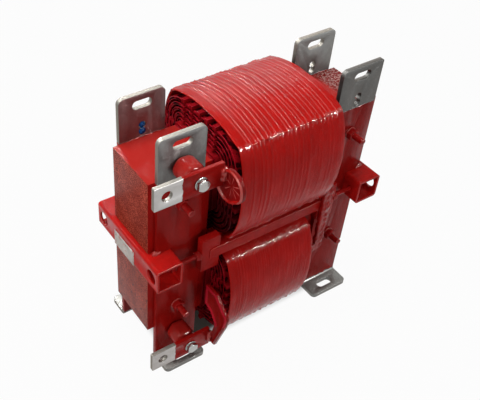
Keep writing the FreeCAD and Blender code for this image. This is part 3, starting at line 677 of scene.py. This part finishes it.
wrap_paint = varnished(
    "wrap_varnish_gloss", red=(0.60, 0.009, 0.007), deep=(0.36, 0.005, 0.004),
    stretch=(900.0, 38.0, 38.0), grain=0.3, relief=0.9,
)
wrap_left = -0.068
corner_y = 0.0660
corner_z = 0.0650
crown_y = 0.0150
crown_z = 0.0132
crown_power = 2.4
wrap_wall = 0.0024
first_lap = 0.0125
last_lap = 0.005
flat_swell = 0.0004
# At the ends, each pair is a step along the coil and the wrap's swell there.
left_end = ((0.0006, 0.0005), (0.0018, 0.0007), (0.0045, 0.0005), (0.0085, 0.0006))
right_end = ((-0.0012, 0.0006), (0.0, 0.0))
# Across a lap, each pair is a step from its crest and the share of its ridge's height.
lap_shape = ((-0.0012, 0.0), (-0.0005, 0.75), (0.0, 1.0), (0.0006, 0.6), (0.0015, 0.1))
fade_along = 0.70
weak_ridge = 0.35
strong_laps = 0.7
side_ridge = 0.4
side_cuts = 23
side_edge = 0.9999
crest_half = 0.0006
crest_beads = 0.007
corner_beads = 0.0026


def wrap_section(centre_z):
    """A wrap's outline at its left end: a rectangle with bulging sides, its points closer at the corners."""
    bpy.ops.object.select_all(action="DESELECT")
    bpy.ops.mesh.primitive_plane_add(
        size=2.0, location=(wrap_left, 0.0, centre_z), rotation=(0.0, math.pi / 2, 0.0)
    )
    wrap = bpy.context.object
    bpy.ops.object.transform_apply(location=True, rotation=True, scale=True)
    bpy.ops.object.mode_set(mode="EDIT")
    bpy.ops.mesh.select_all(action="SELECT")
    bpy.ops.mesh.delete(type="ONLY_FACE")
    bpy.ops.mesh.select_all(action="SELECT")
    bpy.ops.mesh.subdivide(number_cuts=side_cuts)
    bpy.ops.object.mode_set(mode="OBJECT")
    for vertex in wrap.data.vertices:
        y = math.sin(0.5 * math.pi * vertex.co.y)
        z = math.sin(0.5 * math.pi * (vertex.co.z - centre_z))
        rise = crown_z * (1.0 - abs(y) ** crown_power) if abs(z) > side_edge else 0.0
        swell = crown_y * (1.0 - abs(z) ** crown_power) if abs(y) > side_edge else 0.0
        vertex.co.y = y * corner_y + math.copysign(swell, y)
        vertex.co.z = centre_z + z * corner_z + math.copysign(rise, z)
    return wrap


def lay_laps(chance, length, lap_gaps, ridge_heights):
    """Where the section is drawn to, each with its swell and ridge, and where the laps' crests lie."""
    stations = [(x, swell, 0.0) for x, swell in left_end]
    crests = []
    x = first_lap
    while x < length - last_lap:
        strength = 1.0 if chance.random() < strong_laps else weak_ridge
        ridge = chance.uniform(*ridge_heights) * ((1.0 - fade_along * x / length) * strength)
        for step, share in lap_shape:
            stations.append((x + step, flat_swell, share * ridge))
        crests.append(wrap_left + x)
        x += chance.uniform(*lap_gaps)
    for step, swell in right_end:
        stations.append((length + step, swell, 0.0))
    return stations, crests


def draw_along(wrap, centre_z, stations):
    """The section drawn along the coil from station to station, with its faces turned outwards."""
    select_only(wrap)
    bpy.ops.object.mode_set(mode="EDIT")
    bpy.ops.mesh.select_all(action="SELECT")
    at_x = 0.0
    reach_y = corner_y + crown_y
    reach_z = corner_z + crown_z
    for next_x, swell, ridge in stations:
        next_y = corner_y + crown_y + swell + side_ridge * ridge
        next_z = corner_z + crown_z + swell + ridge
        bpy.ops.mesh.extrude_edges_move(TRANSFORM_OT_translate={"value": (next_x - at_x, 0.0, 0.0)})
        bpy.ops.transform.resize(
            value=(1.0, next_y / reach_y, next_z / reach_z), center_override=(wrap_left, 0.0, centre_z)
        )
        at_x = next_x
        reach_y = next_y
        reach_z = next_z
    bpy.ops.mesh.select_all(action="SELECT")
    bpy.ops.mesh.normals_make_consistent(inside=False)
    bpy.ops.object.mode_set(mode="OBJECT")


def from_corner(point, centre_z):
    """How far a point of a wrap lies from the nearest of its four corners."""
    return math.hypot(corner_y - abs(point.y), corner_z - abs(point.z - centre_z))


def gather_beads(wrap, chance, centre_z, crests, bead_share):
    """Thick varnish on the crests' tops and on a share of the corners' length, faces of one band alike."""

    def band_of(face):
        return round(face.center.x, 5), face.center.z > centre_z

    wrap.data.materials.append(wrap_paint)
    wrap.data.materials.append(bead_paint)
    bands = {}
    # The order of the mesh's faces changes from run to run, so they are sorted before the draws.
    for face in sorted(wrap.data.polygons, key=band_of):
        beaded = bands.setdefault(band_of(face), chance.random() < bead_share)
        on_crest = min(abs(face.center.x - crest) for crest in crests) < crest_half
        on_top = abs(face.normal.z) > 0.5
        corner_gap = from_corner(face.center, centre_z)
        if (on_crest and (on_top or corner_gap < crest_beads)) or (beaded and corner_gap < corner_beads):
            face.material_index = 1
    corners = wrap.vertex_groups.new(name="corners")
    for vertex in wrap.data.vertices:
        if from_corner(vertex.co, centre_z) < corner_beads:
            corners.add([vertex.index], 1.0, "REPLACE")


def bind_coil(level, right_x, centre_z, lap_gaps, ridge_heights, bead_share):
    """A wrap with a ridge for each lap, roughened, and given its wall."""
    wrap = wrap_section(centre_z)
    wrap.name = level + "_tape_wrap"
    chance = random.Random(level)
    stations, crests = lay_laps(chance, right_x - wrap_left, lap_gaps, ridge_heights)
    draw_along(wrap, centre_z, stations)
    gather_beads(wrap, chance, centre_z, crests, bead_share)
    wrinkle(wrap, level + "_lap_drift", grain=0.045, strength=0.0022, direction="X")
    wrinkle(wrap, level + "_lumps", grain=0.018, strength=0.0011)
    wrinkle(wrap, level + "_beads", grain=0.0042, strength=0.0034, group="corners")
    bpy.ops.object.modifier_add(type="SOLIDIFY")
    wall = wrap.modifiers[-1]
    wall.thickness = wrap_wall
    wall.offset = -1.0
    bpy.ops.object.modifier_apply(modifier=wall.name)
    bpy.ops.object.shade_smooth_by_angle(angle=math.radians(60.0))
    hand_over(wrap, level + "_coil_wrap")


bind_coil(
    "upper", right_x=0.076, centre_z=0.264, lap_gaps=(0.0038, 0.0080), ridge_heights=(0.00030, 0.00110),
    bead_share=0.42,
)
bind_coil(
    "lower", right_x=0.061, centre_z=0.094, lap_gaps=(0.0028, 0.0055), ridge_heights=(0.00020, 0.00060),
    bead_share=0.75,
)


# Terminals. Flat copper bars, dipped apart from their tinned ends, each screwed to a moulded hexagonal
# standoff by a plated bolt and welded to the lead that comes out of its coil. At the other end a thickly
# coated link joins the coils' last layers.

tinned_line = (-0.1448, -0.1454)
post_x = -0.123
post_y = -0.0575
post_length = 0.027
post_radius = 0.01645
post_flank = 0.0062
post_rim = 0.0013
post_wall = 0.0088
tab_y = -0.0905
tab_z = 0.3075
tab_face_x = -0.0935
# Each pair is a step in from the rim and how far the face is lifted or sunk there.
dish_steps = ((0.0006, 0.0), (0.0009, 0.0012), (0.0010, 0.0003), (0.0012, -0.0024), (0.0020, -0.0006))


def terminal_bare_mask(tree, place):
    """The outer end of a bar is bare, past an uneven edge."""
    return spread(tree, ragged(tree, place, axes_of(tree, place)["X"], 150.0, 0.004), *tinned_line)


bar_paint = half_bare(
    "terminal_bar_and_varnish", red=(0.46, 0.010, 0.008), deep=(0.22, 0.005, 0.004),
    steel=(0.42, 0.41, 0.40), stain=(0.24, 0.22, 0.21), stretch=(60.0, 1500.0, 1500.0),
    mask_of=terminal_bare_mask,
)
resin_paint = varnished(
    "standoff_resin_gloss", red=(0.46, 0.018, 0.014), deep=(0.24, 0.009, 0.007),
    stretch=(300.0, 300.0, 300.0), grain=0.15, relief=0.7, gloss=0.16,
)
link_paint = varnished(
    "link_varnish_run", red=(0.46, 0.008, 0.007), deep=(0.20, 0.004, 0.004),
    stretch=(400.0, 400.0, 400.0), grain=0.3, relief=1.5, gloss=0.12,
)
lead_paint = varnished(
    "lead_varnish_coat", red=(0.33, 0.006, 0.006), deep=(0.14, 0.003, 0.003),
    stretch=(500.0, 500.0, 500.0), grain=0.3, relief=1.5,
)
# Painted glints: thin pink streaks running out from the middle of the upper tab's face.
tree = lead_paint.node_tree
painted_streak_glint_pink = (0.85, 0.16, 0.14, 1.0)
where = axes_of(tree, object_place(tree))
across = math_node(tree, "SUBTRACT", where["Y"], tab_y)
up = math_node(tree, "SUBTRACT", where["Z"], tab_z)
around = add_node(tree, "ShaderNodeCombineXYZ", X=math_node(tree, "ARCTAN2", up, across))
out = math_node(tree, "SQRT", weighed(tree, (across, across), (up, up)))
painted_glint_streaks = spread(tree, noise(tree, around.outputs[0], 3.2, 1.0), 0.58, 0.63)
past_middle = spread(tree, out, 0.0015, 0.0030)
inside_rim = spread(tree, out, 0.0150, 0.0120)
on_face = spread(tree, where["X"], -0.0915, -0.0920, 0.0, 0.75)
paint_over(lead_paint, all_of(tree, painted_glint_streaks, past_middle, inside_rim, on_face), painted_streak_glint_pink)


def round_edges(post, width, steps, lengthwise):
    """Round the edges that run along a post, or those round its two ends."""
    for edge in post.data.edges:
        first, second = (post.data.vertices[index].co for index in edge.vertices)
        runs_along = abs(first.y - second.y) > 0.5 * post_length
        edge.select = runs_along == lengthwise
    bpy.ops.object.mode_set(mode="EDIT")
    bpy.ops.mesh.select_mode(type="EDGE")
    bpy.ops.mesh.bevel(offset=width, segments=steps)


def mould_post(level, axis_z):
    """A hexagonal post with well rounded flanks and ends and a bore, all but a cylinder under the dip."""
    bpy.ops.object.select_all(action="DESELECT")
    bpy.ops.mesh.primitive_cylinder_add(
        vertices=6, radius=post_radius, depth=post_length, location=(post_x, post_y, axis_z),
        rotation=(math.pi / 2, math.radians(30.0), 0.0)
    )
    post = bpy.context.object
    post.name = level + "_hexagonal_post"
    bpy.ops.object.transform_apply(location=True, rotation=True, scale=True)
    round_edges(post, post_flank, 6, lengthwise=True)
    bpy.ops.object.mode_set(mode="OBJECT")
    round_edges(post, post_rim, 3, lengthwise=False)
    bpy.ops.mesh.select_mode(type="FACE")
    bpy.ops.mesh.select_all(action="DESELECT")
    bpy.ops.object.mode_set(mode="OBJECT")
    for face in post.data.polygons:
        face.select = abs(face.normal.y) > 0.999
    bpy.ops.object.mode_set(mode="EDIT")
    bpy.ops.mesh.inset(thickness=post_wall)
    bpy.ops.mesh.delete(type="ONLY_FACE")
    bpy.ops.mesh.select_mode(type="EDGE")
    bpy.ops.mesh.select_all(action="DESELECT")
    bpy.ops.mesh.select_non_manifold()
    bpy.ops.mesh.bridge_edge_loops()
    bpy.ops.mesh.select_all(action="SELECT")
    bpy.ops.mesh.normals_make_consistent(inside=False)
    bpy.ops.mesh.select_mode(type="FACE")
    bpy.ops.object.mode_set(mode="OBJECT")
    post.data.materials.append(resin_paint)
    bpy.ops.object.shade_smooth_by_angle(angle=math.radians(35.0))
    hand_over(post, level + "_standoff")


def dish_face(tab, rim_z):
    """The tab's outer face sunk inside a raised, rounded rim where the varnish has gathered."""
    select_only(tab)
    bpy.ops.object.mode_set(mode="EDIT")
    bpy.ops.mesh.select_mode(type="FACE")
    bpy.ops.mesh.select_all(action="DESELECT")
    bpy.ops.object.mode_set(mode="OBJECT")
    outer = max((face for face in tab.data.polygons if face.normal.x < -0.5), key=lambda face: face.area)
    outer.select = True
    bpy.ops.object.mode_set(mode="EDIT")
    for inset, lift in dish_steps:
        bpy.ops.mesh.inset(thickness=inset, depth=lift)
    bpy.ops.object.mode_set(mode="OBJECT")
    for face in tab.data.polygons:
        if face.center.x < tab_face_x and face.area < 0.0003 and face.center.z > rim_z:
            face.material_index = 1
    bpy.ops.object.shade_smooth_by_angle(angle=math.radians(55.0))


# Zinc plating: bright, slightly yellow in patches, with fine turning marks.
bright_paint, tree, shader = new_material("zinc_plating")
plating = bare_metal(
    tree, steel=(0.40, 0.40, 0.39), stain=(0.36, 0.33, 0.29), stretch=(1800.0, 300.0, 1800.0)
)
tree.links.new(plating.outputs["Color"], shader.inputs["Base Color"])
rough = spread(tree, plating.outputs["Roughness"], 0.3, 0.65, 0.16, 0.32)
tree.links.new(rough, shader.inputs["Roughness"])
shader.inputs["Metallic"].default_value = 1.0
relief = add_node(tree, "ShaderNodeBump", Distance=0.0002, Height=plating.outputs["Height"])
tree.links.new(relief.outputs[0], shader.inputs["Normal"])

for level in ("upper", "lower"):
    dressed(level + "_terminal_bar", level + "_copper_bar", 0.0005, bar_paint, rim=bar_paint)
mould_post("upper", axis_z=0.317)
mould_post("lower", axis_z=0.047)
# The lower tab's rim takes the lighter crimson of the painted highlight.
for level, rim_z, rim_paint in (("upper", 0.0, bead_paint), ("lower", 0.070, highlight_edge_paint)):
    dish_face(dressed(level + "_lead", level + "_lead_tab", 0.0008, lead_paint, rim=rim_paint), rim_z)
beads = dressed("terminal_welds", "terminal_weld_beads", 0.0, weld_paint, rim=weld_paint)
lumpy(beads, face_size=0.0005, grain=0.0040, strength=0.0036, swell=0.0016)
link = dressed("series_link", "series_link_bar", 0.0010, link_paint, rim=link_paint)
lumpy(link, face_size=0.0007, grain=0.0090, strength=0.0040, swell=0.0)
dressed("terminal_bolts", "terminal_bolt_heads", 0.0004, bright_paint, rim=bright_paint)
dressed("terminal_washers", "terminal_flat_washers", 0.0003, bright_paint, rim=bright_paint)
dressed("standoff_collars", "standoff_metal_collars", 0.0004, fastener_paint)
dressed("standoff_screws", "standoff_back_screws", 0.0004, fastener_paint)


# Yoke studs. Steel rods that run through the strips and yokes from front to back, with a hexagon nut and a
# flat washer at each end, which clamp the strips to the yokes. All were varnished in the dip.

dressed("yoke_studs", "yoke_stud_rods", 0.0005, fastener_paint)
dressed("stud_nuts", "stud_hex_nuts", 0.0008, fastener_paint)
dressed("stud_washers", "stud_flat_washers", 0.0005, fastener_paint)


# Rating plate. A thin aluminium plate fixed to the outer wall of the left cross tube and left blank. Its
# face was wiped after the dip, so only thin smears of varnish lie on it.

def plate_bare_mask(tree, place):
    """Bare, apart from thin smears of varnish."""
    return spread(tree, noise(tree, place, 230.0, 3.0), 0.66, 0.56, 0.35, 1.0)


plate_paint = half_bare(
    "blank_plate_aluminium", red=(0.50, 0.02, 0.016), deep=(0.30, 0.01, 0.01),
    steel=(0.46, 0.45, 0.43), stain=(0.13, 0.125, 0.12), stretch=(400.0, 400.0, 400.0),
    mask_of=plate_bare_mask, shear=0.0,
)
dressed("rating_plate", "blank_rating_plate", 0.0003, plate_paint, rim=plate_paint)
